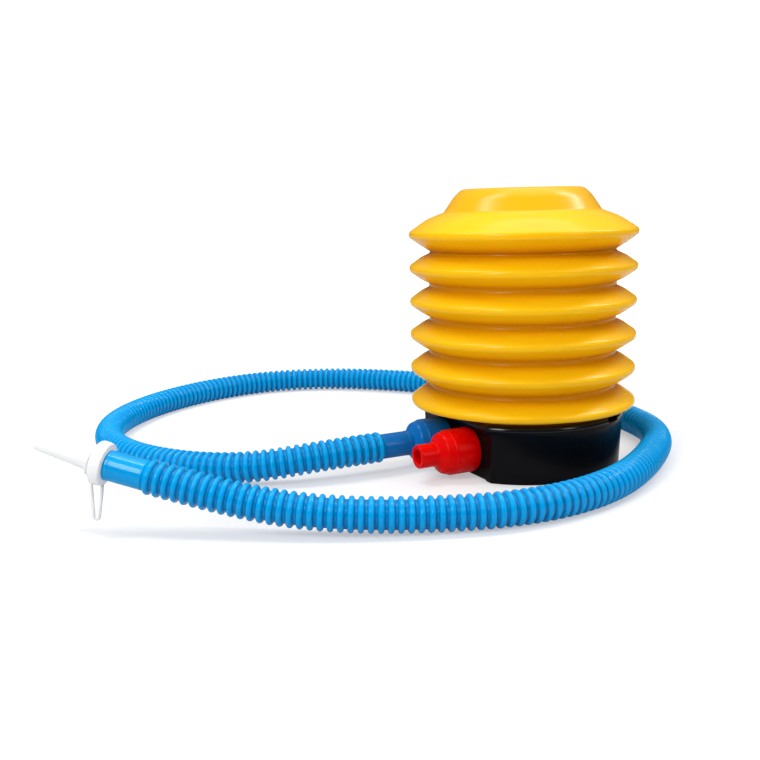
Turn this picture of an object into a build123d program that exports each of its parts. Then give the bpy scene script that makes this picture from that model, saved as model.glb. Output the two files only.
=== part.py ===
from build123d import *

import os
from math import cos, pi, radians, sin, tan

# Bellows foot pump for balls, balloons and pool toys, made of separate parts.
# Frame: +Z up, origin on the bellows axis at the underside of the base.
# Both ports point along -X: the red intake on the -Y side, the blue outlet on the +Y side.
# Every length is in millimetres and every angle in degrees.

os.makedirs("parts", exist_ok=True)

# ---------------------------------------------------------------- driving dimensions
# bellows
crest_radius = 55.3
valley_radius = 44.3
fold_pitch = 16.4
fold_count = 5
lowest_crest_z = 31.9
crest_half_height = 1.0
bellows_thickness = 1.8

# crown: the last fold and the round pad that the foot presses
pad_foot_radius = 38.5
pad_foot_rise = 10.3
pad_shoulder_radius = 30.5
pad_top_radius = 27.5
pad_shoulder_drop = 2.2
pad_rise = 21.3

# base
base_bottom_radius = 48.4
base_draft = 3.0
base_wall = 2.2
port_face_x = -38.0
port_face_width = 58.0
body_height = 23.8
deck_thickness = 1.6
deck_radius = 50.0
deck_face_x = -40.0
floor_plate_thickness = 2.2
floor_plate_gap = 0.1
edge_round = 1.0
cutter_depth = 30.0
deck_overlap = 0.01

# neck and its clamp
neck_outer_radius = 35.0
neck_inner_radius = 33.5
neck_flange_radius = 36.5
neck_flange_inner_radius = 32.0
neck_flange_thickness = 1.0
gasket_thickness = 0.6
clamp_top_z = 28.2
clamp_clearance = 0.1
clamp_edge_chamfer = 0.6
notch_angles = (-64.5, 115.5)
notch_depth = 4.5
notch_width = 9.0

# ports
port_spacing = 25.5
port_z = 12.9
port_bore_radius = 6.0
port_tube_radius = 8.0
port_bore_end_x = -11.0
well_x = -17.0
well_radius = 6.3
well_boss_radius = 8.4
well_step_z = 20.8

# fittings, measured outwards from the port face
fitting_radius = 10.6
fitting_length = 12.8
fitting_shoulder = (16.4, 9.6)
fitting_cone_end = 19.8
nipple_radius = 5.6
nipple_chamfer = 0.5
nipple_end = 28.9
fitting_bore_radius = 3.6
spigot_length = 11.0
ring_groove_depth = 1.0
ring_groove_width = 2.0
ring_groove_from = 4.0

# check valves
seat_radius = 7.6
seat_thickness = 1.5
seat_hole_radius = 1.2
seat_hole_circle = 3.6
seat_hole_count = 6
flap_radius = 5.5
flap_thickness = 0.8
flap_gap = 0.05
cage_guide_radius = 5.8
cage_floor_thickness = 1.3
cage_hole_radius = 1.3
cage_window = (3.0, 1.2)
intake_cage_height = 3.9

# screws
screw_circle_radius = 38.0
screw_radius = 1.5
screw_head_radius = 3.0
screw_head_height = 1.5
screw_length = 13.0
screw_recess = 0.3
cross_slot = (3.6, 0.7, 1.0)
boss_radius = 4.0

# hose
hose_radius = 7.5
hose_bore_radius = 6.1
cuff_radius = 6.3
pump_cuff_radius = 6.05
cuff_bore_radius = 5.65
pump_cuff_length = 15.6
nozzle_cuff_length = 17.0
hose_floor_z = 7.5
smallest_bend_factor = 0.45

# nozzle, measured along its axis from the hose's end
flange_radius = 9.2
flange_thickness = 5.0
collar_radius = 5.2
collar_length = 0.9
neck_radius = 4.4
neck_length = 2.0
nozzle_root_radius = 4.2
nozzle_tip_radius = 2.1
nozzle_length = 49.0
nozzle_bore_radius = 1.2
stem_from = 4.0

# strap that hangs from the nozzle
strap_thickness = 1.2
strap_width = 1.6
strap_ring_radius = 6.4
strap_floor_gap = 3.6
strap_back_from = 0.9
strap_back_gap = 0.1
strap_corner_radius = 0.9
strap_turn_run = 2.3

# ---------------------------------------------------------------- derived places
crest_zs = [lowest_crest_z + i * fold_pitch for i in range(fold_count)]
crown_crest_z = lowest_crest_z + fold_count * fold_pitch
crown_foot_z = crown_crest_z - fold_pitch / 2
deck_top_z = body_height + deck_thickness
gasket_top_z = deck_top_z + gasket_thickness
flange_top_z = gasket_top_z + neck_flange_thickness
seat_top_z = deck_top_z + seat_thickness
intake_y = -port_spacing / 2
outlet_y = port_spacing / 2
groove_middle = -ring_groove_from - ring_groove_width / 2
screw_angles = (45.0, 135.0, 225.0, 315.0)
hose_start_x = port_face_x - fitting_cone_end - pump_cuff_length

# Corners of the hose's route, from the cuff on the outlet round the back of the pump to the nozzle.
route = [
    (hose_start_x, outlet_y, port_z),
    (-101, outlet_y, port_z),
    (-135, 22.5, 9.0),
    (-158, 43.0, hose_floor_z),
    (-177, 72.0, hose_floor_z),
    (-185, 106, hose_floor_z),
    (-181, 141, hose_floor_z),
    (-164, 175, hose_floor_z),
    (-134, 206, hose_floor_z),
    (-92, 229, hose_floor_z),
    (-46, 235, hose_floor_z),
    (-3, 217, hose_floor_z),
    (36, 175, hose_floor_z),
    (65, 126, hose_floor_z),
    (86, 72, hose_floor_z),
    (86, 22, hose_floor_z),
    (73, -22, hose_floor_z),
    (33, -57, hose_floor_z),
    (-10, -81, hose_floor_z),
    (-55, -86, hose_floor_z),
    (-98, -71.5, hose_floor_z),
    (-135, -53.5, 9.2),
    (-164, -33.0, 14.4),
    (-191.5, -13.0, 23.0),
]


# ---------------------------------------------------------------- helpers
def finish(part, name):
    """Label one finished part and write its STEP file."""
    part.label = name
    export_step(part, f"parts/{name}.step")


def corner_radii(points):
    """Largest tangent arc that each corner's shorter run leaves room for."""
    radii = []
    for before, corner, after in zip(points, points[1:], points[2:]):
        run_in = Vector(*corner) - Vector(*before)
        run_out = Vector(*after) - Vector(*corner)
        shorter = min(run_in.length, run_out.length)
        turn = run_in.get_angle(run_out)
        radii.append(smallest_bend_factor * shorter / tan(radians(turn) / 2))
    return radii


def port_plane(y):
    """Plane whose X runs out of a port and whose Y is the radius upwards."""
    return Plane(origin=(port_face_x, y, port_z), x_dir=(-1, 0, 0), z_dir=(0, 1, 0))


def bellows_outline(crests, foot, head):
    """Outer and inner points of folds between the radii and heights foot and head."""
    outer = []
    for index, crest in enumerate(crests):
        if index > 0:
            outer.append((valley_radius, crest - fold_pitch / 2))
            outer.append((crest_radius, crest - crest_half_height))
        outer.append((crest_radius, crest + crest_half_height))
    outer.append(head)
    inner = [(radius - bellows_thickness, z) for radius, z in outer]
    # the lowest flank is almost level, so its thickness is set upwards
    start = (crest_radius, crests[0] - crest_half_height)
    inner_start = (start[0] - bellows_thickness, start[1] + bellows_thickness)
    inner_foot = (foot[0] - bellows_thickness, foot[1])
    inner_corner = (inner_foot[0], foot[1] + bellows_thickness)
    return [foot, start] + outer + inner[::-1] + [inner_start, inner_corner, inner_foot]


# ---------------------------------------------------------------- bellows
with BuildPart() as bellows_wall:
    with BuildSketch(Plane.XZ):
        with BuildLine():
            Polyline(
                *bellows_outline(
                    crest_zs,
                    (neck_outer_radius, clamp_top_z),
                    (valley_radius, crown_foot_z),
                ),
                close=True,
            )
        make_face()
    revolve(axis=Axis.Z)
finish(bellows_wall.part, "bellows_wall")

pad_foot_z = crown_crest_z + pad_foot_rise
pad_top_z = crown_crest_z + pad_rise
with BuildPart() as bellows_crown:
    with BuildSketch(Plane.XZ):
        with BuildLine():
            Polyline(
                (0, pad_top_z),
                (pad_top_radius, pad_top_z),
                (pad_shoulder_radius, pad_top_z - pad_shoulder_drop),
                (pad_foot_radius, pad_foot_z),
                (crest_radius, crown_crest_z + crest_half_height),
                (crest_radius, crown_crest_z - crest_half_height),
                (valley_radius, crown_foot_z),
                (valley_radius - bellows_thickness, crown_foot_z),
                (crest_radius - bellows_thickness, crown_crest_z - crest_half_height),
                (crest_radius - bellows_thickness, crown_crest_z + 0.4),
                (pad_foot_radius - bellows_thickness, pad_foot_z - bellows_thickness),
                (pad_shoulder_radius - bellows_thickness, pad_top_z - 2 * bellows_thickness),
                (pad_top_radius - 1.0, pad_top_z - bellows_thickness),
                (0, pad_top_z - bellows_thickness),
                close=True,
            )
        make_face()
    revolve(axis=Axis.Z)
finish(bellows_crown.part, "bellows_crown")

with BuildPart() as bellows_neck:
    with BuildSketch(Plane.XZ):
        with BuildLine():
            Polyline(
                (neck_inner_radius, clamp_top_z),
                (neck_outer_radius, clamp_top_z),
                (neck_outer_radius, flange_top_z),
                (neck_flange_radius, flange_top_z),
                (neck_flange_radius, gasket_top_z),
                (neck_flange_inner_radius, gasket_top_z),
                (neck_flange_inner_radius, flange_top_z),
                (neck_inner_radius, flange_top_z),
                close=True,
            )
        make_face()
    revolve(axis=Axis.Z)
finish(bellows_neck.part, "bellows_neck")

with BuildPart() as neck_gasket:
    with BuildSketch(Plane.XY.offset(deck_top_z)):
        Circle(neck_flange_radius)
        Circle(neck_flange_inner_radius, mode=Mode.SUBTRACT)
    extrude(amount=gasket_thickness)
finish(neck_gasket.part, "neck_gasket")

# The clamp ring traps the neck's flange on the deck and shows as the base's rim.
# Like the rest of the base, it is cut flat above the ports.
with BuildPart() as clamp_ring:
    with BuildSketch(Plane.XZ):
        with BuildLine():
            Polyline(
                (neck_flange_radius + clamp_clearance, deck_top_z),
                (deck_radius, deck_top_z),
                (deck_radius, clamp_top_z - clamp_edge_chamfer),
                (deck_radius - clamp_edge_chamfer, clamp_top_z),
                (neck_outer_radius + clamp_clearance, clamp_top_z),
                (neck_outer_radius + clamp_clearance, flange_top_z),
                (neck_flange_radius + clamp_clearance, flange_top_z),
                close=True,
            )
        make_face()
    revolve(axis=Axis.Z)
    clamp_middle_z = (deck_top_z + clamp_top_z) / 2
    for angle in notch_angles:
        notch_x = deck_radius * cos(radians(angle))
        notch_y = deck_radius * sin(radians(angle))
        with Locations(Location((notch_x, notch_y, clamp_middle_z), (0, 0, angle))):
            Box(2 * notch_depth, notch_width, clamp_top_z - deck_top_z, mode=Mode.SUBTRACT)
    with Locations((deck_face_x - cutter_depth / 2, 0, clamp_middle_z)):
        Box(cutter_depth, 2 * deck_radius, clamp_top_z - deck_top_z, mode=Mode.SUBTRACT)
finish(clamp_ring.part, "clamp_ring")

# ---------------------------------------------------------------- base
with BuildPart() as base_shell:
    # drafted drum with one side cut flat for the ports
    with BuildSketch(Plane.XY):
        Circle(base_bottom_radius)
    extrude(amount=body_height, taper=-base_draft)
    with Locations((port_face_x - cutter_depth / 2, 0, body_height / 2)):
        Box(cutter_depth, 3 * base_bottom_radius, 2 * body_height, mode=Mode.SUBTRACT)
    fillet(base_shell.faces().sort_by(Axis.Z)[0].edges(), edge_round)
    fillet(base_shell.edges().filter_by(Plane.YZ).filter_by_position(Axis.Z, 2, 20), edge_round)
    # hollow below the deck
    with BuildSketch(Plane.XY):
        Circle(base_bottom_radius - base_wall)
    extrude(amount=body_height - deck_overlap, taper=-base_draft, mode=Mode.SUBTRACT)
    with Locations((port_face_x + base_wall / 2, 0, body_height / 2)):
        Box(base_wall, port_face_width, body_height - 2 * edge_round)
    # deck that carries the bellows
    with BuildSketch(Plane.XY.offset(body_height)):
        Circle(deck_radius)
        with Locations((deck_face_x - cutter_depth / 2, 0)):
            Rectangle(cutter_depth, 2 * deck_radius, mode=Mode.SUBTRACT)
    extrude(amount=deck_thickness)
    # port tubes, valve wells and screw bosses
    tube_length = port_bore_end_x - port_face_x + 2
    for y in (intake_y, outlet_y):
        with BuildSketch(port_plane(y)):
            with Locations((-tube_length / 2, port_tube_radius / 2)):
                Rectangle(tube_length, port_tube_radius)
        revolve(axis=Axis((port_face_x, y, port_z), (1, 0, 0)))
        with BuildSketch(Plane.XY.offset(port_z)):
            with Locations((well_x, y)):
                Circle(well_boss_radius)
        extrude(amount=body_height - port_z)
    for angle in screw_angles:
        with BuildSketch(Plane.XY.offset(floor_plate_thickness)):
            with PolarLocations(screw_circle_radius, 1, angle):
                Circle(boss_radius)
        extrude(amount=body_height - floor_plate_thickness)
    # bores
    for y in (intake_y, outlet_y):
        bore_length = port_bore_end_x - port_face_x
        with Locations(Location((port_face_x + bore_length / 2, y, port_z), (0, 90, 0))):
            Cylinder(port_bore_radius, bore_length, mode=Mode.SUBTRACT)
        with Locations((well_x, y, (port_z + well_step_z) / 2)):
            Cylinder(port_bore_radius - 1, well_step_z - port_z, mode=Mode.SUBTRACT)
        with Locations((well_x, y, (well_step_z + deck_top_z) / 2)):
            Cylinder(well_radius, deck_top_z - well_step_z, mode=Mode.SUBTRACT)
    for angle in screw_angles:
        with BuildSketch(Plane.XY.offset(floor_plate_thickness)):
            with PolarLocations(screw_circle_radius, 1, angle):
                Circle(screw_radius)
        extrude(amount=screw_length - screw_recess, mode=Mode.SUBTRACT)
finish(base_shell.part, "base_shell")

with BuildPart() as base_floor:
    with BuildSketch(Plane.XY):
        Circle(base_bottom_radius - base_wall - floor_plate_gap)
        with Locations((port_face_x + base_wall + floor_plate_gap - cutter_depth / 2, 0)):
            Rectangle(cutter_depth, 2 * base_bottom_radius, mode=Mode.SUBTRACT)
    extrude(amount=floor_plate_thickness)
    with Locations(Plane.XY):
        with PolarLocations(screw_circle_radius, 4, screw_angles[0]):
            Cylinder(screw_radius, 4 * floor_plate_thickness, mode=Mode.SUBTRACT)
            with Locations((0, 0, screw_recess + screw_head_height / 2)):
                Cone(screw_head_radius, screw_radius, screw_head_height, mode=Mode.SUBTRACT)
            with Locations((0, 0, screw_recess / 2)):
                Cylinder(screw_head_radius, screw_recess, mode=Mode.SUBTRACT)
finish(base_floor.part, "base_floor")

with BuildPart() as base_screws:
    with PolarLocations(screw_circle_radius, 4, screw_angles[0]):
        with Locations((0, 0, screw_recess + screw_head_height / 2)):
            Cone(screw_head_radius, screw_radius, screw_head_height)
        with Locations((0, 0, screw_recess + screw_length / 2)):
            Cylinder(screw_radius, screw_length)
        with Locations((0, 0, screw_recess + cross_slot[2] / 2)):
            Box(*cross_slot, mode=Mode.SUBTRACT)
            Box(cross_slot[1], cross_slot[0], cross_slot[2], mode=Mode.SUBTRACT)
finish(base_screws.part, "base_screws")


# ---------------------------------------------------------------- port fittings
def fitting_points():
    """Half section of a fitting: spigot with a ring groove, drum, cone and nipple."""
    groove_end = ring_groove_from + ring_groove_width
    groove_radius = port_bore_radius - ring_groove_depth
    return [
        (-spigot_length, fitting_bore_radius),
        (nipple_end, fitting_bore_radius),
        (nipple_end, nipple_radius - nipple_chamfer),
        (nipple_end - nipple_chamfer, nipple_radius),
        (fitting_cone_end, nipple_radius),
        fitting_shoulder,
        (fitting_length, fitting_radius),
        (edge_round, fitting_radius),
        (0, fitting_radius - edge_round),
        (0, port_bore_radius),
        (-ring_groove_from, port_bore_radius),
        (-ring_groove_from, groove_radius),
        (-groove_end, groove_radius),
        (-groove_end, port_bore_radius),
        (-spigot_length, port_bore_radius),
    ]


with BuildPart() as intake_fitting:
    with BuildSketch(port_plane(intake_y)):
        with BuildLine():
            Polyline(*fitting_points(), close=True)
        make_face()
    revolve(axis=Axis((port_face_x, intake_y, port_z), (1, 0, 0)))
finish(intake_fitting.part, "intake_fitting")

with BuildPart() as outlet_fitting:
    with BuildSketch(port_plane(outlet_y)):
        with BuildLine():
            Polyline(*fitting_points(), close=True)
        make_face()
    revolve(axis=Axis((port_face_x, outlet_y, port_z), (1, 0, 0)))
finish(outlet_fitting.part, "outlet_fitting")

for side, y in (("intake", intake_y), ("outlet", outlet_y)):
    with BuildPart() as seal_ring:
        with BuildSketch(port_plane(y)):
            with Locations((groove_middle, port_bore_radius - ring_groove_depth / 2)):
                RectangleRounded(ring_groove_width - 0.2, ring_groove_depth, 0.35)
        revolve(axis=Axis((port_face_x, y, port_z), (1, 0, 0)))
    finish(seal_ring.part, f"{side}_seal_ring")

# ---------------------------------------------------------------- check valves
for side, y in (("intake", intake_y), ("outlet", outlet_y)):
    with BuildPart() as valve_seat:
        with BuildSketch(Plane.XY.offset(deck_top_z)):
            with Locations((well_x, y)):
                Circle(seat_radius)
                with PolarLocations(seat_hole_circle, seat_hole_count):
                    Circle(seat_hole_radius, mode=Mode.SUBTRACT)
        extrude(amount=seat_thickness)
    finish(valve_seat.part, f"{side}_valve_seat")

with BuildPart() as intake_flap:
    with BuildSketch(Plane.XY.offset(seat_top_z + flap_gap)):
        with Locations((well_x, intake_y)):
            Circle(flap_radius)
    extrude(amount=flap_thickness)
finish(intake_flap.part, "intake_flap")

with BuildPart() as outlet_flap:
    with BuildSketch(Plane.XY.offset(deck_top_z - flap_gap - flap_thickness)):
        with Locations((well_x, outlet_y)):
            Circle(flap_radius)
    extrude(amount=flap_thickness)
finish(outlet_flap.part, "outlet_flap")

# cap over the intake flap: a wall with side windows and a spider on top
with BuildPart() as intake_valve_cage:
    with BuildSketch(Plane.XY.offset(seat_top_z)):
        with Locations((well_x, intake_y)):
            Circle(seat_radius)
            Circle(cage_guide_radius, mode=Mode.SUBTRACT)
    extrude(amount=intake_cage_height)
    with BuildSketch(Plane.XY.offset(seat_top_z + intake_cage_height - cage_floor_thickness)):
        with Locations((well_x, intake_y)):
            Circle(seat_radius)
            with PolarLocations(seat_hole_circle, 4):
                Circle(cage_hole_radius, mode=Mode.SUBTRACT)
    extrude(amount=cage_floor_thickness)
    with Locations((well_x, intake_y, seat_top_z + intake_cage_height / 2)):
        Box(3 * seat_radius, *cage_window, mode=Mode.SUBTRACT)
        Box(cage_window[0], 3 * seat_radius, cage_window[1], mode=Mode.SUBTRACT)
finish(intake_valve_cage.part, "intake_valve_cage")

# cup under the outlet flap, standing on the step in the well
with BuildPart() as outlet_valve_cage:
    with BuildSketch(Plane.XY.offset(well_step_z)):
        with Locations((well_x, outlet_y)):
            Circle(well_radius)
            with PolarLocations(seat_hole_circle, 4):
                Circle(cage_hole_radius, mode=Mode.SUBTRACT)
    extrude(amount=cage_floor_thickness)
    with BuildSketch(Plane.XY.offset(well_step_z + cage_floor_thickness)):
        with Locations((well_x, outlet_y)):
            Circle(well_radius)
            Circle(cage_guide_radius, mode=Mode.SUBTRACT)
    extrude(amount=deck_top_z - well_step_z - cage_floor_thickness)
finish(outlet_valve_cage.part, "outlet_valve_cage")

# ---------------------------------------------------------------- hose
radii = corner_radii(route)
print("hose corner radii:", [round(radius, 1) for radius in radii])
hose_section = pi * (hose_radius**2 - hose_bore_radius**2)
with BuildPart() as hose:
    with BuildLine() as hose_path:
        FilletPolyline(*route, radius=radii)
    start_direction = hose_path.line % 0
    with BuildSketch(Plane(origin=route[0], z_dir=start_direction)):
        Circle(hose_radius)
        Circle(hose_bore_radius, mode=Mode.SUBTRACT)
    sweep()
hose_length = hose_path.wire().length
print("hose length:", round(hose_length, 1), "smallest bend:", round(min(radii), 1))
print("hose volume:", round(hose.part.volume), "section x length:", round(hose_section * hose_length))
finish(hose.part, "hose")

with BuildPart() as hose_cuff_pump:
    with BuildSketch(port_plane(outlet_y)):
        with Locations((fitting_cone_end + pump_cuff_length / 2, (pump_cuff_radius + cuff_bore_radius) / 2)):
            Rectangle(pump_cuff_length, pump_cuff_radius - cuff_bore_radius)
    revolve(axis=Axis((port_face_x, outlet_y, port_z), (1, 0, 0)))
finish(hose_cuff_pump.part, "hose_cuff_pump")

# ---------------------------------------------------------------- nozzle on the hose's free end
hose_end = Vector(*route[-1])
nozzle_direction = (hose_end - Vector(*route[-2])).normalized()
nozzle_side = nozzle_direction.cross(Vector(0, 0, 1)).normalized()
nozzle_plane = Plane(origin=hose_end, x_dir=nozzle_direction, z_dir=nozzle_side)
nozzle_axis = Axis(hose_end, nozzle_direction)

with BuildPart() as hose_cuff_nozzle:
    with BuildSketch(nozzle_plane):
        with Locations((nozzle_cuff_length / 2, (cuff_radius + cuff_bore_radius) / 2)):
            Rectangle(nozzle_cuff_length, cuff_radius - cuff_bore_radius)
    revolve(axis=nozzle_axis)
finish(hose_cuff_nozzle.part, "hose_cuff_nozzle")

flange_end = nozzle_cuff_length + flange_thickness
collar_end = flange_end + collar_length
neck_end = collar_end + neck_length
with BuildPart() as nozzle:
    with BuildSketch(nozzle_plane):
        with BuildLine():
            Polyline(
                (stem_from, nozzle_bore_radius),
                (nozzle_length, nozzle_bore_radius),
                (nozzle_length, nozzle_tip_radius),
                (neck_end, nozzle_root_radius),
                (neck_end, neck_radius),
                (collar_end, neck_radius),
                (collar_end, collar_radius),
                (flange_end, collar_radius),
                (flange_end, flange_radius - 0.5),
                (flange_end - 0.5, flange_radius),
                (nozzle_cuff_length + 0.5, flange_radius),
                (nozzle_cuff_length, flange_radius - 0.5),
                (nozzle_cuff_length, cuff_bore_radius - 0.03),
                (stem_from, cuff_bore_radius - 0.25),
                close=True,
            )
        make_face()
    revolve(axis=nozzle_axis)
finish(nozzle.part, "nozzle")

# The strap is a flat loop: a ring round the nozzle's neck, one leg down and one leg back up.
ring_middle = collar_end + neck_length / 2
down = (nozzle_plane.to_local_coords(hose_end - Vector(0, 0, 1))).normalized()
strap_top = Vector(ring_middle, -strap_ring_radius + strap_thickness / 2, 0)
drop = nozzle_plane.from_local_coords(strap_top).Z - strap_floor_gap - strap_thickness
strap_low = strap_top + down * drop
strap_turn = strap_low + Vector(-strap_turn_run, 0, 0)
strap_back = Vector(nozzle_cuff_length + strap_back_from, -flange_radius - strap_back_gap, 0)
with BuildPart() as nozzle_strap:
    with BuildLine(nozzle_plane) as strap_path:
        FilletPolyline(
            (strap_top.X, strap_top.Y),
            (strap_low.X, strap_low.Y),
            (strap_turn.X, strap_turn.Y),
            (strap_back.X, strap_back.Y),
            radius=strap_corner_radius,
        )
    strap_start = Plane(
        origin=strap_path.line @ 0, x_dir=nozzle_side, z_dir=strap_path.line % 0
    )
    with BuildSketch(strap_start):
        Rectangle(strap_width, strap_thickness)
    sweep()
    with BuildSketch(nozzle_plane):
        with Locations((ring_middle, (strap_ring_radius + neck_radius) / 2)):
            Rectangle(strap_thickness, strap_ring_radius - neck_radius)
    revolve(axis=nozzle_axis)
finish(nozzle_strap.part, "nozzle_strap")
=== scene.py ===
from math import acos, ceil, cos, pi, radians, sin, tan, tau

import bpy
from mathutils import Matrix, Vector, noise


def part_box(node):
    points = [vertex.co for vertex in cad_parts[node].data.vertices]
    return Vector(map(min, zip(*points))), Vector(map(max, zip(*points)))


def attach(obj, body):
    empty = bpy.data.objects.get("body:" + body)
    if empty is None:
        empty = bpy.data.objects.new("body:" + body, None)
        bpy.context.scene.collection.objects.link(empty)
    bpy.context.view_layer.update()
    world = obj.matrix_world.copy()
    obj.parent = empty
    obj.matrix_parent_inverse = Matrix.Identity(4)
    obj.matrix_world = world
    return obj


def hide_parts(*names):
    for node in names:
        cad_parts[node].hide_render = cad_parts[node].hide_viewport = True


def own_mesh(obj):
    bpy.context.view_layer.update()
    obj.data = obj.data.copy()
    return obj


# Looks of a bellows foot pump: yellow bellows, black base, red and blue nipples, a ribbed blue
# hose and a white nozzle. Everything is in metres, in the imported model's frame.

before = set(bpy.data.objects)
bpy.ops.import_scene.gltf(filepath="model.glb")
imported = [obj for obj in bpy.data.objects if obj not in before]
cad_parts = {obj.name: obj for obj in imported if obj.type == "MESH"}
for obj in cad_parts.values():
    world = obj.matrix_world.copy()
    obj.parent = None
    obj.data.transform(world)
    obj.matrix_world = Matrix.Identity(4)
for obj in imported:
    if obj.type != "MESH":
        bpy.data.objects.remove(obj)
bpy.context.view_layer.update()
MM = 0.001

# ---------------------------------------------------------------- bellows dimensions
CREST_RADIUS = 55.3 * MM
VALLEY_RADIUS = 44.3 * MM
CREST_HALF_HEIGHT = 1.2 * MM
CREST_ROUND = 1.9 * MM
VALLEY_ROUND = 1.7 * MM
VALLEY_CUT = 1.0 * MM  # what the rounding takes off a valley's corner
FLANK_BULGE = 0.45 * MM
FLANK_ROUND = 12 * MM
FOLD_PITCH = 16.4 * MM
FOLD_COUNT = 5
WALL_THICKNESS = 1.3 * MM
UNEVENNESS = 0.35 * MM
BELLOWS_SIDES = 192

# The lowest fold's underside is a nearly level shelf round the neck.
NECK_LIP = 1.5 * MM
SHELF_RADIUS = 46.5 * MM
SHELF_RISE = 0.15 * MM
SHELF_ROUND = 3 * MM

# The crown starts just above the wall's top edge, so that their edges never touch. Its corners
# and hollow give radius, height over the top crest and, for the corners, rounding, in mm.
SEAM_GAP = 0.04 * MM
CROWN_HALF_HEIGHT = 1.3 * MM
CROWN_CORNERS = [(46.5, 7.3, 26), (38.0, 10.4, 2.4), (33.2, 17.6, 14)]
CROWN_HOLLOW = [(30.6, 17.0), (36.2, 9.4)]
CROWN_EDGE_THICKNESS = 3 * MM
CROWN_EDGE_HOLLOW = 0.4 * MM
PAD_RADIUS = 29.2 * MM
PAD_ROUND = 5.2 * MM
PAD_HOLLOW_RADIUS = 25.0 * MM

# ---------------------------------------------------------------- rim of the base
# It is cut flat on the port side and has two notches.
RIM_SIDES = 240
RIM_ROUND = (2.4 * MM, 2.7 * MM)
RIM_ROUND_STEPS = 8
RIM_GAP = 0.1 * MM
RIM_SHARP = radians(35)
RIM_NOTCHES = (radians(-64.5), radians(115.5))
NOTCH_DEPTH = 4.5 * MM
NOTCH_HALF_ANGLE = radians(5.2)
NOTCH_STEPS = 6
NOTCH_SIDE = 0.002  # angle that a notch's side wall takes up

# ---------------------------------------------------------------- hose dimensions
HOSE_RADIUS = 7.5 * MM
HOSE_VALLEY = 6.0 * MM
HOSE_BORE_GAP = 0.8 * MM
HOSE_BORE_DEPTH = 20 * MM
RIB_PITCH = 3.95 * MM
RIB_HALF_WIDTH = 1.3 * MM
RIB_ANGLES = (-90, -62, -34, 0, 34, 62, 90)
RIB_SIDES = 40

# The hose's route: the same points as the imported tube's, from the outlet's cuff to the nozzle.
FLOOR = HOSE_RADIUS
ROUTE = [
    (-0.0734, 0.01275, 0.0129),
    (-0.101, 0.01275, 0.0129),
    (-0.135, 0.0225, 0.0090),
    (-0.158, 0.043, FLOOR),
    (-0.177, 0.072, FLOOR),
    (-0.185, 0.106, FLOOR),
    (-0.181, 0.141, FLOOR),
    (-0.164, 0.175, FLOOR),
    (-0.134, 0.206, FLOOR),
    (-0.092, 0.229, FLOOR),
    (-0.046, 0.235, FLOOR),
    (-0.003, 0.217, FLOOR),
    (0.036, 0.175, FLOOR),
    (0.065, 0.126, FLOOR),
    (0.086, 0.072, FLOOR),
    (0.086, 0.022, FLOOR),
    (0.073, -0.022, FLOOR),
    (0.033, -0.057, FLOOR),
    (-0.010, -0.081, FLOOR),
    (-0.055, -0.086, FLOOR),
    (-0.098, -0.0715, FLOOR),
    (-0.135, -0.0535, 0.0092),
    (-0.164, -0.033, 0.0144),
    (-0.1915, -0.013, 0.0230),
]

# ---------------------------------------------------------------- fittings, cuffs and nozzle
CUFF_BORE = 5.65 * MM
CUFF_RADIUS = 6.3 * MM
PUMP_CUFF_RADIUS = 6.05 * MM
PUMP_CUFF_LENGTH = 15.6 * MM
NOZZLE_CUFF_LENGTH = 17.0 * MM
CUFF_LIP_RISE = 0.12 * MM
CUFF_LIP_LENGTH = 1.6 * MM
CUFF_SIDES = 72

# Turned profiles: radius, distance along the axis and rounding of each corner, in mm.
SPIGOT_LENGTH = 11.0 * MM  # of the CAD fitting, from the port's face inwards
FITTING_SIDES = 96
FITTING_CORNERS = [
    (6.0, -9.0, 0),
    (6.0, 0.02, 0),
    (10.8, 0.02, 1.0),
    (10.8, 13.0, 0.25),
    (10.5, 13.3, 0.25),
    (9.6, 16.8, 2.2),
    (5.6, 20.0, 1.0),
    (5.6, 28.9, 0.6),
    (3.6, 28.9, 0.4),
    (3.6, -9.0, 0),
]
NOZZLE_SIDES = 64
NOZZLE_CORNERS = [
    (1.2, 5.0, 0),
    (5.4, 5.0, 0.4),
    (5.6, 17.0, 0),
    (8.8, 17.0, 0.8),
    (9.2, 19.0, 3.0),
    (9.2, 22.0, 1.2),
    (5.2, 22.0, 0.5),
    (5.1, 22.9, 0.3),
    (4.4, 22.9, 0.2),
    (4.3, 26.0, 3.0),
    (2.1, 49.0, 0.4),
    (1.2, 49.0, 0.3),
]

# The strap's ring sits on the nozzle's neck, and its loop hangs nearly to the floor. Marks are
# distances along the nozzle from the hose's end, and drops are distances below its axis. Its
# section is in mm.
STRAP_RING_MARK = 23.9 * MM
STRAP_TOP_DROP = 5.8 * MM
STRAP_LOW_HEIGHT = 4.2 * MM
STRAP_LOW_WIDTH = 2.3 * MM
STRAP_BACK_MARK = 17.9 * MM
STRAP_BACK_DROP = 9.3 * MM
STRAP_BEND = 0.9 * MM
STRAP_HALF_WIDTH, STRAP_HALF_DEPTH = 0.8, 0.6
STRAP_RING_RADII = (4.42, 6.4)

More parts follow.
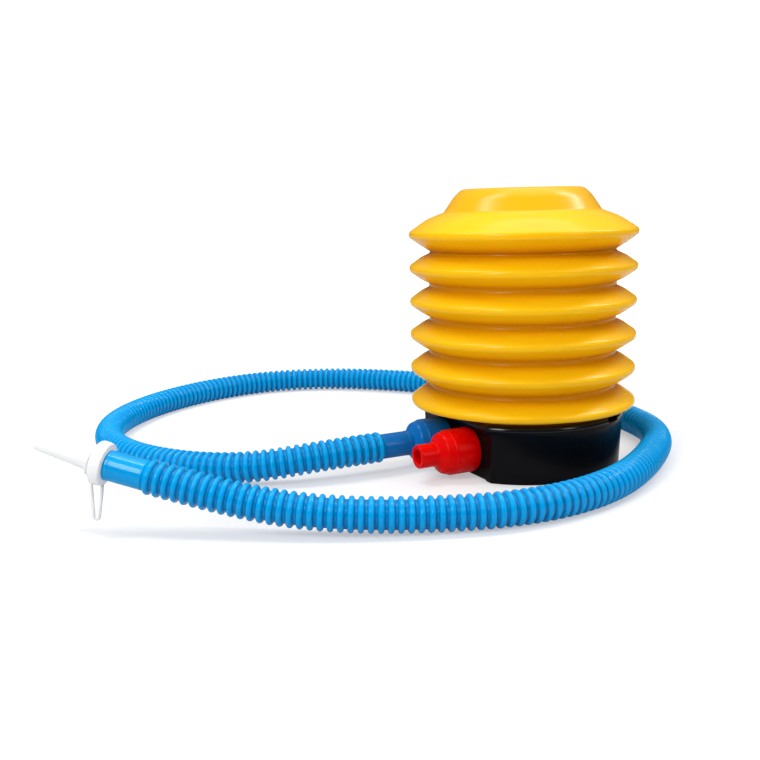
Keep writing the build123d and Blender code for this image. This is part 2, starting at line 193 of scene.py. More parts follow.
# ---------------------------------------------------------------- studio
# Soft boxes: name, place, target, size and power in watts.
SOFT_BOXES = [
    ("left_box", (-0.62, -0.34, 0.50), (0, 0, 0.09), (0.18, 0.42), 3.2),
    ("right_box", (0.26, -0.70, 0.46), (0, 0, 0.08), (0.18, 0.42), 1.1),
    ("left_top_box", (-0.34, 0.18, 0.80), (0, 0, 0.10), (0.12, 0.40), 2.2),
    ("right_top_box", (0.58, -0.10, 0.72), (0, 0, 0.10), (0.12, 0.40), 2.7),
]
SUN_POWER = 1.0
SUN_ANGLE = radians(42)
SUN_DIRECTION = (-0.22, -0.16, -1.0)
TENT_STRENGTH = 0.50
BACKDROP_STRENGTH = 1.05
FLOOR_HALF_SIZE = 6.0
CAMERA_PLACE = (-0.2633, -0.3778, 0.1285)
CAMERA_YAW, CAMERA_DROP, CAMERA_ROLL = -26, 10.75, -1.35


def make_camera():
    """Camera at the product shot's angle: low, a little to the left, looking slightly down."""
    data = bpy.data.cameras.new("camera")
    data.sensor_width = 36
    data.lens = 43.58
    data.clip_start = 0.01
    camera = bpy.data.objects.new("camera", data)
    yaw = Matrix.Rotation(radians(CAMERA_YAW), 4, "Z")
    pitch = Matrix.Rotation(radians(90 - CAMERA_DROP), 4, "X")
    roll = Matrix.Rotation(radians(CAMERA_ROLL), 4, "Z")
    camera.matrix_world = Matrix.Translation(CAMERA_PLACE) @ yaw @ pitch @ roll
    bpy.context.collection.objects.link(camera)
    bpy.context.scene.camera = camera


def make_world():
    """White studio tent: brightest overhead, dimmer near the floor, plain white to the eye."""
    world = bpy.data.worlds.new("studio")
    bpy.context.scene.world = world
    world.use_nodes = True
    nodes, links = world.node_tree.nodes, world.node_tree.links
    nodes.clear()
    output = nodes.new("ShaderNodeOutputWorld")
    place = nodes.new("ShaderNodeTexCoord")
    split = nodes.new("ShaderNodeSeparateXYZ")
    ramp = nodes.new("ShaderNodeValToRGB")
    low, high = ramp.color_ramp.elements
    low.position, low.color = 0.05, (0.06, 0.062, 0.07, 1)
    high.position, high.color = 0.8, (1, 1, 1, 1)
    tent = nodes.new("ShaderNodeBackground")
    tent.inputs["Strength"].default_value = TENT_STRENGTH
    plain = nodes.new("ShaderNodeBackground")
    plain.inputs["Color"].default_value = (1, 1, 1, 1)
    plain.inputs["Strength"].default_value = BACKDROP_STRENGTH
    path = nodes.new("ShaderNodeLightPath")
    mix = nodes.new("ShaderNodeMixShader")
    links.new(place.outputs["Generated"], split.inputs["Vector"])
    links.new(split.outputs["Z"], ramp.inputs["Fac"])
    links.new(ramp.outputs["Color"], tent.inputs["Color"])
    links.new(path.outputs["Is Camera Ray"], mix.inputs["Fac"])
    links.new(tent.outputs["Background"], mix.inputs[1])
    links.new(plain.outputs["Background"], mix.inputs[2])
    links.new(mix.outputs["Shader"], output.inputs["Surface"])


def make_sun():
    """Broad sun from above and behind."""
    data = bpy.data.lights.new("broad_sun", "SUN")
    data.energy = SUN_POWER
    data.angle = SUN_ANGLE
    sun = bpy.data.objects.new("broad_sun", data)
    sun.rotation_euler = Vector(SUN_DIRECTION).to_track_quat("-Z", "Y").to_euler()
    bpy.context.collection.objects.link(sun)


def make_soft_box(name, place, target, size, power):
    """Rectangular area light at place, facing target."""
    data = bpy.data.lights.new(name, "AREA")
    data.shape = "RECTANGLE"
    data.size, data.size_y = size
    data.energy = power
    light = bpy.data.objects.new(name, data)
    direction = Vector(target) - Vector(place)
    light.rotation_euler = direction.to_track_quat("-Z", "Y").to_euler()
    light.location = place
    bpy.context.collection.objects.link(light)


def make_floor(material):
    """Large plain floor, not part of the object."""
    mesh = bpy.data.meshes.new("floor")
    half = FLOOR_HALF_SIZE
    corners = [(-half, -half, 0), (half, -half, 0), (half, half, 0), (-half, half, 0)]
    mesh.from_pydata(corners, [], [(0, 1, 2, 3)])
    floor = bpy.data.objects.new("floor", mesh)
    mesh.materials.append(material)
    bpy.context.collection.objects.link(floor)


# ---------------------------------------------------------------- material helpers
class Nodes:
    """Small helper that adds and joins shader nodes in one material."""

    def __init__(self, name):
        self.material = bpy.data.materials.new(name)
        self.material.use_nodes = True
        self.tree = self.material.node_tree
        self.shader = self.tree.nodes["Principled BSDF"]
        self.place = self.tree.nodes.new("ShaderNodeTexCoord").outputs["Object"]

    def add(self, kind, inputs=None, **settings):
        node = self.tree.nodes.new("ShaderNode" + kind)
        for key, value in settings.items():
            setattr(node, key, value)
        for key, value in (inputs or {}).items():
            if isinstance(value, bpy.types.NodeSocket):
                self.tree.links.new(value, node.inputs[key])
            else:
                node.inputs[key].default_value = value
        return node

    def noise(self, scale, detail, roughness):
        inputs = {"Vector": self.place, "Scale": scale, "Detail": detail, "Roughness": roughness}
        return self.add("TexNoise", inputs).outputs["Fac"]

    def drift(self, tones, scale, detail, roughness):
        """Colour that wanders slowly between two tones."""
        node = self.add("ValToRGB", {"Fac": self.noise(scale, detail, roughness)})
        for element, position, tone in zip(node.color_ramp.elements, (0.3, 0.7), tones):
            element.position = position
            element.color = (*tone, 1)
        return node.outputs["Color"]

    def span(self, value, low, high, to_low, to_high):
        inputs = {0: value, 1: low, 2: high, 3: to_low, 4: to_high}
        return self.add("MapRange", inputs, clamp=True).outputs["Result"]

    def math(self, operation, first, second=0.0):
        return self.add("Math", {0: first, 1: second}, operation=operation).outputs["Value"]

    def length(self, vector):
        return self.add("VectorMath", {0: vector}, operation="LENGTH").outputs["Value"]

    def mix(self, factor, colour, tint):
        """Colour that factor turns into a plain tint."""
        node = self.add("Mix", {0: factor, 6: colour, 7: (*tint, 1)}, data_type="RGBA")
        return node.outputs[2]

    def bump(self, height, distance, strength, below=None):
        inputs = {"Height": height, "Distance": distance, "Strength": strength}
        if below is not None:
            inputs["Normal"] = below
        return self.add("Bump", inputs).outputs["Normal"]

    def feed(self, socket, value):
        self.tree.links.new(value, self.shader.inputs[socket])

    def set(self, **sockets):
        for key, value in sockets.items():
            self.shader.inputs[key.replace("_", " ")].default_value = value


def moulded(name, tones, gloss, patch=28.0):
    """Moulded plastic: slow colour drift, fine grain, faint scuffs and uneven gloss."""
    n = Nodes(name)
    n.feed("Base Color", n.drift(tones, patch, 3.0, 0.55))
    scuffs = n.noise(260.0, 4.0, 0.7)
    n.feed("Roughness", n.span(scuffs, 0.35, 0.75, *gloss))
    grain = n.noise(900.0, 2.0, 0.6)
    swell = n.noise(75.0, 2.0, 0.5)
    wavy = n.bump(swell, 0.12 * MM, 0.35)
    n.feed("Normal", n.bump(grain, 0.02 * MM, 0.3, wavy))
    return n


def make_finish(name, tones, gloss, **sockets):
    """Moulded finish with shader settings of its own."""
    n = moulded(name, tones, gloss)
    n.set(**sockets)
    return n.material


def make_yellow():
    """Blow-moulded bellows: golden yellow, with painted shade that makes it deeper orange down in
    the folds and on the pad, and a painted glow low down.
    """
    n = Nodes("bellows_yellow")
    split = n.add("SeparateXYZ", {"Vector": n.place}).outputs
    across = n.add("CombineXYZ", {"X": split["X"], "Y": split["Y"]}).outputs["Vector"]
    # painted shade: the colour turns deeper orange towards the folds' valleys, below the crown
    depth = n.math("POWER", n.span(n.length(across), 0.0545, 0.0445, 0.0, 1.0), 1.6)
    below_crown = n.span(split["Z"], 0.1148, 0.1128, 0.0, 1.0)
    fold = n.math("MULTIPLY", depth, below_crown)
    plain = n.drift([(0.94, 0.49, 0.002), (0.97, 0.54, 0.004)], 24.0, 3.0, 0.5)
    # painted shade: the pad on top is mixed to a deeper yellow
    pad = n.span(split["Z"], 0.1235, 0.1250, 0.0, 1.0)
    body = n.mix(pad, plain, (0.87, 0.44, 0.003))
    n.feed("Base Color", n.mix(fold, body, (0.58, 0.215, 0.0)))
    scuffs = n.noise(180.0, 3.0, 0.6)
    n.feed("Roughness", n.span(scuffs, 0.35, 0.75, 0.22, 0.28))
    # mould parting line in one upright plane through the axis
    aside = n.math("ABSOLUTE", n.math("ADD", split["X"], split["Y"]))
    seam = n.span(aside, 0.0, 0.5 * MM, 1.0, 0.0)
    swell = n.noise(55.0, 2.0, 0.5)
    grain = n.noise(700.0, 2.0, 0.6)
    wavy = n.bump(swell, 0.22 * MM, 0.30)
    grainy = n.bump(grain, 0.01 * MM, 0.12, wavy)
    n.feed("Normal", n.bump(seam, 0.2 * MM, 0.6, grainy))
    n.set(IOR=1.28, Subsurface_Weight=0.10, Subsurface_Scale=0.004)
    n.set(Subsurface_Radius=(1.0, 0.5, 0.1))
    # painted glow, standing in for light that comes through the thin wall, strongest on the
    # lowest fold's underside
    n.set(Emission_Color=(1.0, 0.30, 0.0, 1.0))
    n.feed("Emission Strength", n.span(split["Z"], 0.0308, 0.0290, 0.04, 0.22))
    return n.material


def make_blue(name, tones, gloss):
    """Blue plastic with painted shade in its hollows, that lets a little light in."""
    n = moulded(name, tones, gloss, patch=40.0)
    plain = n.shader.inputs["Base Color"].links[0].from_socket
    # painted shade: darker blue where the surface is hollow, as in the hose's valleys
    bend = n.add("NewGeometry").outputs["Pointiness"]
    hollow = n.span(bend, 0.52, 0.44, 0.0, 1.0)
    n.feed("Base Color", n.mix(hollow, plain, (0.0, 0.13, 0.34)))
    n.set(IOR=1.27, Subsurface_Weight=0.05, Subsurface_Scale=0.001)
    n.set(Subsurface_Radius=(0.2, 0.6, 1.0))
    return n.material


def make_floor_material():
    """White sweep: dim enough to bounce little light, lifted to plain white for the eye."""
    n = Nodes("floor_white")
    n.feed("Base Color", n.drift([(0.50, 0.505, 0.515), (0.51, 0.515, 0.525)], 0.8, 1.0, 0.4))
    n.set(Roughness=0.6, Specular_IOR_Level=0.1, Emission_Color=(1.0, 1.0, 1.0, 1.0))
    lift = n.span(n.length(n.place), 0.20, 0.60, 0.42, 1.0)
    seen = n.add("LightPath").outputs["Is Camera Ray"]
    bounce = n.span(seen, 0.0, 1.0, 0.12, 0.0)
    n.feed("Emission Strength", n.math("ADD", n.math("MULTIPLY", lift, seen), bounce))
    return n.material


# ---------------------------------------------------------------- mesh helpers
def new_piece(name, mesh_data, material, body, replaced, weighted=True):
    """Smooth mesh object that rides on a body and stands for the replaced nodes."""
    vertices, faces = mesh_data
    mesh = bpy.data.meshes.new(name)
    mesh.from_pydata(vertices, [], faces)
    mesh.validate()
    mesh.shade_smooth()
    mesh.materials.append(material)
    piece = bpy.data.objects.new(name, mesh)
    bpy.context.collection.objects.link(piece)
    if weighted:
        modifier = piece.modifiers.new("weighted_normals", "WEIGHTED_NORMAL")
        modifier.weight = 60
    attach(piece, body)
    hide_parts(*replaced)
    return piece


def dress(material, *names):
    """Give carried-over CAD nodes a material."""
    for name in names:
        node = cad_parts[name]
        node.data.materials.clear()
        node.data.materials.append(material)


def rounded(corners, closed=False, step=radians(12)):
    """Outline through corners (x, y, radius), each rounded by an arc of its radius."""
    nearly_straight = radians(89.5)
    outline = []
    count = len(corners)
    for index, (x, y, radius) in enumerate(corners):
        here = Vector((x, y))
        if not closed and index in (0, count - 1) or radius <= 0:
            outline.append(here)
            continue
        before = Vector(corners[index - 1][:2])
        after = Vector(corners[(index + 1) % count][:2])
        back = (before - here).normalized()
        ahead = (after - here).normalized()
        half_angle = acos(max(-1.0, min(1.0, back.dot(ahead)))) / 2
        if half_angle > nearly_straight:
            outline.append(here)
            continue
        reach = radius / tan(half_angle)
        limit = 0.499 * min((before - here).length, (after - here).length)
        if reach > limit:
            reach = limit
            radius = reach * tan(half_angle)
        centre = here + (back + ahead).normalized() * (radius / sin(half_angle))
        start = here + back * reach - centre
        end = here + ahead * reach - centre
        sweep = pi - 2 * half_angle
        steps = max(2, ceil(sweep / step))
        turn = 1 if start.x * end.y - start.y * end.x > 0 else -1
        for k in range(steps + 1):
            spoke = Matrix.Rotation(turn * sweep * k / steps, 2) @ start
            outline.append(centre + spoke)
    return outline


def rounded_mm(corners, **settings):
    """Rounded outline in metres through corners in mm."""
    return rounded([(x * MM, y * MM, radius * MM) for x, y, radius in corners], **settings)


def rectangle(low, high, left_round, right_round):
    """Corners (x, y, radius) of a rectangle from low to high."""
    (left, bottom), (right, top) = low, high
    return [
        (left, bottom, left_round),
        (right, bottom, right_round),
        (right, top, right_round),
        (left, top, left_round),
    ]


def revolve(outline, segments, place=Matrix.Identity(4), wobble=None):
    """Vertices and faces of a closed outline (radius, height) turned about place's Z axis."""
    vertices = []
    rings = []
    for radius, height in outline:
        if radius < 1e-7:
            rings.append([len(vertices)])
            vertices.append(place @ Vector((0, 0, height)))
            continue
        ring = []
        for k in range(segments):
            angle = tau * k / segments
            r, h = (radius, height) if wobble is None else wobble(radius, height, angle)
            ring.append(len(vertices))
            vertices.append(place @ Vector((r * cos(angle), r * sin(angle), h)))
        rings.append(ring)
    faces = []
    for lower, upper in zip(rings, rings[1:] + rings[:1]):
        if len(lower) == 1 and len(upper) == 1:
            continue
        for k in range(segments):
            j = (k + 1) % segments
            if len(lower) == 1:
                faces.append((lower[0], upper[j], upper[k]))
            elif len(upper) == 1:
                faces.append((lower[k], lower[j], upper[0]))
            else:
                faces.append((lower[k], lower[j], upper[j], upper[k]))
    return vertices, faces


def band(ring, after, count, forward=True):
    """Faces between two rings of count vertices, whose first vertices are ring and after."""
    faces = []
    for k in range(count):
        j = (k + 1) % count
        if forward:
            faces.append((ring + k, after + k, after + j, ring + j))
        else:
            faces.append((ring + k, ring + j, after + j, after + k))
    return faces


def axis_place(origin, direction):
    """Matrix whose Z axis runs from origin along direction."""
    turn = Vector(direction).to_track_quat("Z", "Y").to_matrix().to_4x4()
    return Matrix.Translation(origin) @ turn


# ---------------------------------------------------------------- hose
def route_line():
    """The route's smooth line, read from a NURBS spline with the route as its control points."""
    data = bpy.data.curves.new("hose_route", "CURVE")
    data.dimensions = "3D"
    spline = data.splines.new("NURBS")
    spline.points.add(len(ROUTE) - 1)
    for point, place in zip(spline.points, ROUTE):
        point.co = (*place, 1)
    spline.order_u = 3
    spline.use_endpoint_u = True
    spline.resolution_u = 48
    curve = bpy.data.objects.new("hose_route", data)
    bpy.context.collection.objects.link(curve)
    depsgraph = bpy.context.evaluated_depsgraph_get()
    mesh = bpy.data.meshes.new_from_object(curve.evaluated_get(depsgraph))
    line = [vertex.co.copy() for vertex in mesh.vertices]
    bpy.data.objects.remove(curve)
    bpy.data.meshes.remove(mesh)
    return line


class Line:
    """Places and directions by length along a line of close points."""

    def __init__(self, points):
        self.points = points
        self.marks = [0.0]
        for a, b in zip(points, points[1:]):
            self.marks.append(self.marks[-1] + (b - a).length)
        self.length = self.marks[-1]
        self.last = 0

    def at(self, mark):
        while self.last > 0 and self.marks[self.last] > mark:
            self.last -= 1
        while self.last < len(self.points) - 2 and self.marks[self.last + 1] < mark:
            self.last += 1
        low, high = self.marks[self.last], self.marks[self.last + 1]
        a, b = self.points[self.last], self.points[self.last + 1]
        return a.lerp(b, (mark - low) / (high - low))

    def direction(self, mark):
        reach = 1.5 * MM
        low = max(0.0, mark - reach)
        high = min(self.length, mark + reach)
        return (self.at(high) - self.at(low)).normalized()


def tube_ring(line, mark, radius):
    """One ring of a tube along line, level with the floor, so that the rings never twist."""
    centre = line.at(mark)
    direction = line.direction(mark)
    side = direction.cross(Vector((0, 0, 1))).normalized()
    up = side.cross(direction)
    turns = [tau * k / RIB_SIDES for k in range(RIB_SIDES)]
    return [centre + side * (radius * cos(a)) + up * (radius * sin(a)) for a in turns]


def rib_outline(length):
    """Marks and radii of the ribs along the hose: half-round crests and narrow flat valleys."""
    count = round(length / RIB_PITCH)
    pitch = length / count
    depth = HOSE_RADIUS - HOSE_VALLEY
    outline = [(0.0, HOSE_VALLEY)]
    for index in range(count):
        middle = (index + 0.5) * pitch
        for angle in RIB_ANGLES:
            mark = middle + RIB_HALF_WIDTH * sin(radians(angle))
            outline.append((mark, HOSE_VALLEY + depth * cos(radians(angle))))
        outline.append(((index + 1) * pitch, HOSE_VALLEY))
    return outline


def make_hose(material):
    """Corrugated tube along the route, with a blind bore at each end."""
    line = Line(route_line())
    ribs = rib_outline(line.length)
    bore = HOSE_VALLEY - HOSE_BORE_GAP
    bore_marks = (line.length, line.length - HOSE_BORE_DEPTH, HOSE_BORE_DEPTH, 0.0)
    outline = ribs + [(mark, bore) for mark in bore_marks]
    vertices, faces = [], []
    for mark, radius in outline:
        vertices += tube_ring(line, mark, radius)
    far_bottom = len(ribs) + 1
    for ring in range(len(outline)):
        low = ring * RIB_SIDES
        high = (ring + 1) % len(outline) * RIB_SIDES
        if ring == far_bottom:
            # the bottoms of the two bores
            faces.append(tuple(range(low + RIB_SIDES - 1, low - 1, -1)))
            faces.append(tuple(range(high, high + RIB_SIDES)))
        else:
            faces += band(low, high, RIB_SIDES)
    hose = new_piece(
        "ribbed_hose", (vertices, faces), material, "base", ["hose"], weighted=False
    )
    return hose, [line.at(mark) for mark, radius in ribs], line


# ---------------------------------------------------------------- bellows
def fold_corners(crest):
    """Corners of one crest at height crest, from the valley below to the one above."""
    low, high = crest - FOLD_PITCH / 2, crest + FOLD_PITCH / 2
    dip = VALLEY_RADIUS - VALLEY_CUT
    middle_radius = (CREST_RADIUS + dip) / 2 + FLANK_BULGE
    middle_rise = (CREST_HALF_HEIGHT + FOLD_PITCH / 2) / 2 + FLANK_BULGE
    return [
        (dip, low, VALLEY_ROUND),
        (middle_radius, crest - middle_rise, FLANK_ROUND),
        (CREST_RADIUS, crest - CREST_HALF_HEIGHT, CREST_ROUND),
        (CREST_RADIUS, crest + CREST_HALF_HEIGHT, CREST_ROUND),
        (middle_radius, crest + middle_rise, FLANK_ROUND),
        (dip, high, VALLEY_ROUND),
    ]


def uneven(radius, height, angle):
    """Slight unevenness of a blow-moulded wall, growing towards the crests."""
    share = max(0.0, (radius - VALLEY_RADIUS) / (CREST_RADIUS - VALLEY_RADIUS))
    place = Vector((cos(angle) * 1.1, sin(angle) * 1.1, height * 45))
    swell = noise.noise(place) * UNEVENNESS * share
    lift = noise.noise(place + Vector((7, 3, 1))) * UNEVENNESS * share
    return radius + swell, height + lift


def make_wall(material):
    """Folded wall between the neck and the crown. Returns its upper edge's point."""
    wall_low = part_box("bellows_wall")[0][2]
    wall_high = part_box("bellows_wall")[1][2]
    first_crest = wall_high - FOLD_PITCH * (FOLD_COUNT - 0.5)
    foot_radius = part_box("bellows_neck")[1][0] - NECK_LIP
    shelf = (SHELF_RADIUS, wall_low + SHELF_RISE, SHELF_ROUND)
    corners = [(foot_radius, wall_low, 0), shelf] + fold_corners(first_crest)[2:]
    for index in range(1, FOLD_COUNT):
        corners += fold_corners(first_crest + index * FOLD_PITCH)[1:]
    outer = rounded(corners + [(CREST_RADIUS, wall_high + FOLD_PITCH / 2, 0)])
    outer = [point for point in outer if point.y < wall_high - 0.01 * MM]
    outer.append(Vector((outer[-1].x, wall_high)))
    # the lowest flank is almost level, so the inside leaves it well above
    upper = [point for point in outer if point.y > first_crest]
    inner = [(point.x - WALL_THICKNESS, point.y) for point in reversed(upper)]
    inner += [
        (CREST_RADIUS - 2 * WALL_THICKNESS, first_crest - CREST_HALF_HEIGHT + WALL_THICKNESS),
        (foot_radius - WALL_THICKNESS, wall_low + WALL_THICKNESS),
        (foot_radius - WALL_THICKNESS, wall_low),
    ]
    mesh_data = revolve([tuple(point) for point in outer] + inner, BELLOWS_SIDES, wobble=uneven)
    wall = new_piece(
        "folded_wall", mesh_data, material, "base", ["bellows_wall"], weighted=False
    )
    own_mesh(wall)
    return outer[-1]


def make_crown(material, edge):
    """Top fold, cone and pad, from just above the wall's upper edge."""
    crest = edge.y + FOLD_PITCH / 2
    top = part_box("bellows_crown")[1][2]
    start = (edge.x, edge.y + SEAM_GAP, 0)
    fold = fold_corners(crest)
    corners = [start, fold[1], fold[2], (CREST_RADIUS, crest + CROWN_HALF_HEIGHT, CREST_ROUND)]
    for radius, rise, rounding in CROWN_CORNERS:
        corners.append((radius * MM, crest + rise * MM, rounding * MM))
    corners += [(PAD_RADIUS, top, PAD_ROUND), (0, top, 0)]
    edge_radius = CREST_RADIUS - CROWN_EDGE_THICKNESS
    inner = [(0, top - WALL_THICKNESS), (PAD_HOLLOW_RADIUS, top - WALL_THICKNESS)]
    inner += [(radius * MM, crest + rise * MM) for radius, rise in CROWN_HOLLOW]
    inner += [
        (edge_radius, crest + CROWN_EDGE_HOLLOW),
        (edge_radius, crest - CROWN_EDGE_HOLLOW),
        (start[0] - WALL_THICKNESS, start[1]),
    ]
    outline = [tuple(point) for point in rounded(corners)] + inner
    mesh_data = revolve(outline, BELLOWS_SIDES, wobble=uneven)
    new_piece(
        "crown_skin", mesh_data, material, "crown", ["bellows_crown"], weighted=False
    )


# ---------------------------------------------------------------- rim of the base
def rim_loop(radius, flat_x, inset, height):
    """One level of the rim's edge: an arc and the flat, both set in, with the notches."""
    corner = acos(flat_x / radius)
    spokes = [(k * tau / RIM_SIDES, 0.0) for k in range(RIM_SIDES)]
    # none right beside the flat's corners or in a notch, which get spokes of their own
    spokes = [spoke for spoke in spokes if abs(abs(pi - spoke[0]) - (pi - corner)) > 0.01]
    for middle in RIM_NOTCHES:
        middle %= tau
        low, high = middle - NOTCH_HALF_ANGLE, middle + NOTCH_HALF_ANGLE
        clear = 2 * NOTCH_SIDE
        spokes = [spoke for spoke in spokes if not low - clear < spoke[0] < high + clear]
        steps = [low + (high - low) * k / NOTCH_STEPS for k in range(NOTCH_STEPS + 1)]
        spokes += [(low - NOTCH_SIDE, 0.0), (high + NOTCH_SIDE, 0.0)]
        spokes += [(angle, NOTCH_DEPTH) for angle in steps]
    spokes += [(corner, 0.0), (tau - corner, 0.0)]
    loop = []
    for angle, depth in sorted(spokes):
        reach = radius - inset
        if cos(angle) < 0:
            reach = min(reach, (flat_x + inset) / cos(angle))
        reach = min(reach, radius - depth) if depth else reach
        loop.append(Vector((reach * cos(angle), reach * sin(angle), height)))
    return loop


def make_rim(material):
    """Clamp ring with a rounded upper edge, cut flat above the ports and notched twice."""
    low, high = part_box("clamp_ring")
    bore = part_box("bellows_neck")[1][0] - NECK_LIP + RIM_GAP
    across, down = RIM_ROUND
    levels = [(0.0, low[2])]
    for k in range(RIM_ROUND_STEPS + 1):
        angle = radians(90 * k / RIM_ROUND_STEPS)
        levels.append((across * (1 - cos(angle)), high[2] - down * (1 - sin(angle))))
    loops = [rim_loop(high[0], low[0], inset, height) for inset, height in levels]
    angles = [Vector((1, 0)).angle_signed(point.xy, 0.0) for point in loops[0]]
    for height in (high[2], low[2]):
        loops.append([Vector((bore * cos(a), -bore * sin(a), height)) for a in angles])
    vertices = [point for loop in loops for point in loop]
    faces = []
    count = len(loops[0])
    for ring in range(len(loops)):
        after = (ring + 1) % len(loops)
        faces += band(ring * count, after * count, count, forward=False)
    rim = new_piece(
        "notched_rim", (vertices, faces), material, "base", ["clamp_ring"], weighted=False
    )
    rim.data.set_sharp_from_angle(angle=RIM_SHARP)


# ---------------------------------------------------------------- fittings, cuffs and nozzle
def make_fitting(name, node, material):
    """Drum, rounded shoulder and nipple with an air way, from its node's own place."""
    low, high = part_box(node)
    face_x = high[0] - SPIGOT_LENGTH
    place = axis_place((face_x, (low[1] + high[1]) / 2, (low[2] + high[2]) / 2), (-1, 0, 0))
    mesh_data = revolve(rounded_mm(FITTING_CORNERS), FITTING_SIDES, place)
    new_piece(name, mesh_data, material, "base", [node])


def make_cuff(name, node, material, place, radius, length):
    """Plain end of the hose, with a rolled lip at its open end."""
    lip_radius = radius + CUFF_LIP_RISE
    outline = rounded(
        [
            (CUFF_BORE, 0, 0.3 * MM),
            (lip_radius, 0, 0.35 * MM),
            (lip_radius, CUFF_LIP_LENGTH, 0.3 * MM),
            (radius, CUFF_LIP_LENGTH + 0.5 * MM, 0.5 * MM),
            (radius, length - 0.6 * MM, 0.5 * MM),
            (HOSE_VALLEY, length, 0),
            (CUFF_BORE, length, 0),
        ],
        closed=True,
    )
    mesh_data = revolve(outline, CUFF_SIDES, place)
    return new_piece(name, mesh_data, material, "base", [node])


def make_nozzle(material, place):
    """Stem, thick flange, collar, neck and a long taper with a bore."""
    mesh_data = revolve(rounded_mm(NOZZLE_CORNERS, closed=True), NOZZLE_SIDES, place)
    return new_piece("tapered_nozzle", mesh_data, material, "base", ["nozzle"])


def strap_loop(end, direction):
    """Vertices and faces of the strap's narrow loop, a thin band with closed ends."""
    side = direction.cross(Vector((0, 0, 1))).normalized()
    out = side.cross(direction)
    top = end + direction * STRAP_RING_MARK - out * STRAP_TOP_DROP
    low = Vector((top.x, top.y, STRAP_LOW_HEIGHT))
    back = end + direction * STRAP_BACK_MARK - out * STRAP_BACK_DROP
    bends = [place - end for place in (top, low, low - direction * STRAP_LOW_WIDTH, back)]
    points = rounded([(place.dot(direction), place.dot(out), STRAP_BEND) for place in bends])
    line = [end + direction * point.x + out * point.y for point in points]
    wide, deep = STRAP_HALF_WIDTH, STRAP_HALF_DEPTH
    corners = rectangle((-wide, -deep), (wide, deep), 0.35, 0.35)
    section = rounded_mm(corners, closed=True, step=radians(30))
    count = len(section)
    vertices, faces = [], []
    for index, place in enumerate(line):
        before, after = line[max(0, index - 1)], line[min(len(line) - 1, index + 1)]
        normal = (after - before).normalized().cross(side)
        vertices += [place + side * corner.x + normal * corner.y for corner in section]
    last = (len(line) - 1) * count
    for ring in range(0, last, count):
        faces += band(ring, ring + count, count, forward=False)
    faces.append(tuple(range(count - 1, -1, -1)))
    faces.append(tuple(range(last, last + count)))
    return vertices, faces


def make_strap(material, end, direction):
    """Thin band: a ring round the nozzle's neck and a narrow loop that hangs down from it."""
    vertices, faces = strap_loop(end, direction)
    inside, outside = STRAP_RING_RADII
    corners = rectangle((inside, -STRAP_HALF_DEPTH), (outside, STRAP_HALF_DEPTH), 0.2, 0.4)
    place = axis_place(end + direction * STRAP_RING_MARK, direction)
    ring_vertices, ring_faces = revolve(rounded_mm(corners, closed=True), NOZZLE_SIDES, place)
    shift = len(vertices)
    vertices += ring_vertices
    faces += [tuple(index + shift for index in face) for face in ring_faces]
    return new_piece(
        "hanging_strap", (vertices, faces), material, "base", ["nozzle_strap"]
    )


# ---------------------------------------------------------------- assembly
bpy.context.scene.view_settings.view_transform = "Standard"
make_camera()
make_world()
make_sun()
for box in SOFT_BOXES:
    make_soft_box(*box)
make_floor(make_floor_material())

BLACK = [(0.002, 0.002, 0.003), (0.004, 0.004, 0.005)]
RED = [(0.72, 0.0, 0.0), (0.78, 0.001, 0.001)]
SOFT_BLUE = [(0.0, 0.32, 0.73), (0.0, 0.35, 0.78)]
# the outlet's own darker blue plastic, also used as painted shade on the pump end's cuff
OUTLET_AND_CUFF_SHADE_BLUE = [(0.0, 0.13, 0.45), (0.0, 0.15, 0.50)]
WHITE = [(0.87, 0.875, 0.88), (0.90, 0.90, 0.90)]
NATURAL = [(0.70, 0.70, 0.66), (0.78, 0.78, 0.75)]
RUBBER = [(0.018, 0.018, 0.019), (0.032, 0.032, 0.033)]
STEEL = [(0.50, 0.50, 0.50), (0.62, 0.62, 0.61)]

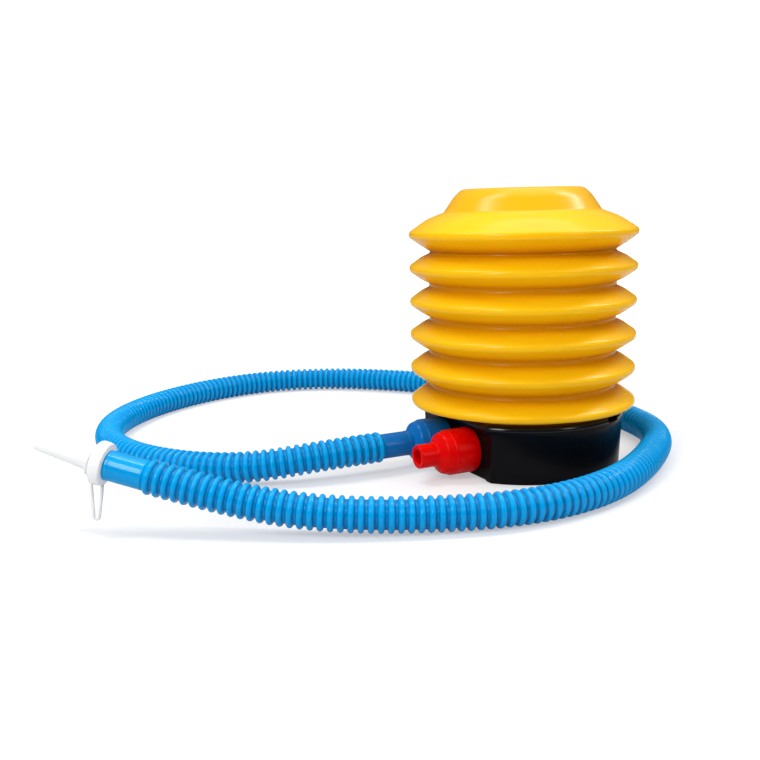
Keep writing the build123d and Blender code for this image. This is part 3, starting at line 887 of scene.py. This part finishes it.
yellow = make_yellow()
black = make_finish("base_black", BLACK, (0.14, 0.24), IOR=1.18)
rim_black = make_finish("rim_black", BLACK, (0.14, 0.20), IOR=1.38)
red = make_finish(
    "intake_red", RED, (0.22, 0.32), IOR=1.18, Subsurface_Weight=0.25, Subsurface_Scale=0.004
)
hose_blue = make_blue("hose_blue", SOFT_BLUE, (0.06, 0.12))
outlet_and_cuff_shade_blue = make_blue("outlet_plastic_and_cuff_shade", OUTLET_AND_CUFF_SHADE_BLUE, (0.18, 0.30))
white = make_finish(
    "nozzle_white", WHITE, (0.28, 0.42), IOR=1.46, Subsurface_Weight=0.15, Subsurface_Scale=0.002
)
valve = make_finish("valve_plastic", NATURAL, (0.35, 0.5))
rubber = make_finish("seal_rubber", RUBBER, (0.55, 0.75))
steel = make_finish("screw_steel", STEEL, (0.25, 0.45), Metallic=1.0)

hose, hose_centres, hose_line = make_hose(hose_blue)
start = hose_line.at(0)
end = hose_line.at(hose_line.length)
end_direction = (Vector(ROUTE[-1]) - Vector(ROUTE[-2])).normalized()
# the pump end's cuff is of the hose's plastic; the darker outlet blue on it is painted shade from
# the bellows above
pump_cuff = make_cuff(
    "pump_end_cuff",
    "hose_cuff_pump",
    outlet_and_cuff_shade_blue,
    axis_place(start + Vector((PUMP_CUFF_LENGTH, 0, 0)), (-1, 0, 0)),
    PUMP_CUFF_RADIUS,
    PUMP_CUFF_LENGTH,
)
nozzle_cuff = make_cuff(
    "nozzle_end_cuff",
    "hose_cuff_nozzle",
    hose_blue,
    axis_place(end + end_direction * NOZZLE_CUFF_LENGTH, -end_direction),
    CUFF_RADIUS,
    NOZZLE_CUFF_LENGTH,
)
nozzle = make_nozzle(white, axis_place(end, end_direction))
strap = make_strap(white, end, end_direction)
round(hose_line.length, 4)

make_crown(yellow, make_wall(yellow))
make_rim(rim_black)
make_fitting("red_nipple", "intake_fitting", red)
make_fitting("blue_nipple", "outlet_fitting", outlet_and_cuff_shade_blue)

dress(yellow, "bellows_neck")
dress(black, "base_shell", "base_floor")
dress(rubber, "neck_gasket", "intake_seal_ring", "outlet_seal_ring", "intake_flap", "outlet_flap")
dress(valve, "intake_valve_seat", "outlet_valve_seat", "intake_valve_cage", "outlet_valve_cage")
dress(steel, "base_screws")
